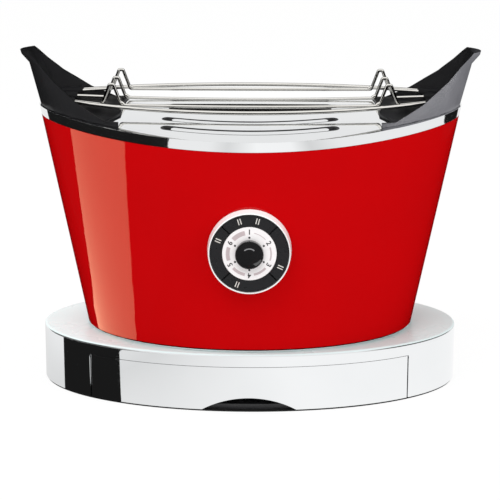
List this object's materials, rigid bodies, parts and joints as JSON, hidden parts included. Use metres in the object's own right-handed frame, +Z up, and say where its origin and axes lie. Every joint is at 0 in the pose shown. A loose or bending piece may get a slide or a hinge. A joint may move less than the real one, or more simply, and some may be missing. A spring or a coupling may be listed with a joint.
{
  "type": "toaster",
  "caption": "Two-slot electric toaster with a flared oval body on an oval base, a pull-out crumb tray, a round front control and a warming rack held between two flared end wings.",
  "frame": {"origin": "bottom centre of the whole object's box, on the table", "axes": "+X to the right along the body's length, -Y to the front where the dial is, +Z up"},
  "size_m": [0.3724, 0.2286, 0.273],
  "materials": {
    "chrome": "polished",
    "red_paint": "gloss",
    "black_plastic": "satin",
    "rubber": "matte",
    "steel": "plain",
    "silver": "satin",
    "mica": "matte",
    "board": "satin"
  },
  "bodies": {
    "housing": {"base_shell": "chrome", "top_cover": "chrome", "rack_rod_front": "chrome", "rack_rod_rear": "chrome", "rack_wire_front": "chrome", "rack_wire_middle": "chrome", "rack_wire_rear": "chrome", "dial_bezel": "chrome", "seat_collar": "chrome", "body_shell": "red_paint", "base_floor": "black_plastic", "wing_left": "black_plastic", "wing_right": "black_plastic", "dial_housing": "black_plastic", "encoder_body": "black_plastic", "foot_front_left": "rubber", "foot_front_right": "rubber", "foot_rear_left": "rubber", "foot_rear_right": "rubber", "cord_gland": "rubber", "foot_screw_front_left": "steel", "foot_screw_front_right": "steel", "foot_screw_rear_left": "steel", "foot_screw_rear_right": "steel", "wing_screw_left_front": "steel", "wing_screw_left_rear": "steel", "wing_screw_right_front": "steel", "wing_screw_right_rear": "steel", "chassis_floor": "steel", "end_plate_left": "steel", "end_plate_right": "steel", "guard_front_outer": "steel", "guard_front_inner": "steel", "guard_rear_inner": "steel", "guard_rear_outer": "steel", "guide_rod_front": "steel", "guide_rod_rear": "steel", "lift_motor": "steel", "scale_disc": "silver", "heater_front": "mica", "heater_centre": "mica", "heater_rear": "mica", "control_board": "board"},
    "tray": {"tray_front": "chrome", "tray_pan": "steel"},
    "knob": {"browning_knob": "black_plastic", "knob_shaft": "steel"},
    "rocker": {"go_stop_rocker": "black_plastic"},
    "defrost_key": {"defrost_button": "black_plastic"},
    "bagel_key": {"bagel_button": "black_plastic"},
    "reheat_key": {"reheat_button": "black_plastic"},
    "bread_lift": {"bread_rest_front": "steel", "bread_rest_rear": "steel", "carriage_bracket": "steel", "lift_rack": "steel"},
    "pinion": {"lift_pinion": "steel"}
  },
  "joints": [
    {"name": "tray_slide", "type": "slide", "parent": "housing", "child": "tray", "axis": [0, -1, 0], "range_m": [0, 0.15]},
    {"name": "knob_turn", "type": "hinge", "parent": "housing", "child": "knob", "pos_m": [0, -0.09364, 0.1292], "axis": [0, 1, 0], "range_deg": [0, 300]},
    {"name": "rocker_tilt", "type": "hinge", "parent": "housing", "child": "rocker", "pos_m": [0, -0.09854, 0.1292], "axis": [0, 0, 1], "range_deg": [-2.5, 2.5], "stiffness_Nm_per_rad": 0.5},
    {"name": "defrost_push", "type": "slide", "parent": "housing", "child": "defrost_key", "axis": [0, 1, 0], "range_m": [0, 0.0015], "stiffness_N_per_m": 900},
    {"name": "bagel_push", "type": "slide", "parent": "housing", "child": "bagel_key", "axis": [0, 1, 0], "range_m": [0, 0.0015], "stiffness_N_per_m": 900},
    {"name": "reheat_push", "type": "slide", "parent": "housing", "child": "reheat_key", "axis": [0, 1, 0], "range_m": [0, 0.0015], "stiffness_N_per_m": 900},
    {"name": "lift_travel", "type": "slide", "parent": "housing", "child": "bread_lift", "axis": [0, 0, 1], "range_m": [-0.062, 0.008]},
    {"name": "pinion_turn", "type": "hinge", "parent": "housing", "child": "pinion", "pos_m": [0.107, 0.00784, 0.132], "axis": [0, 1, 0], "range_deg": [-600, 80]}
  ],
  "couplings": [
    {"joint": "pinion_turn", "follows": "lift_travel", "rad_per_m": 166.67}
  ]
}
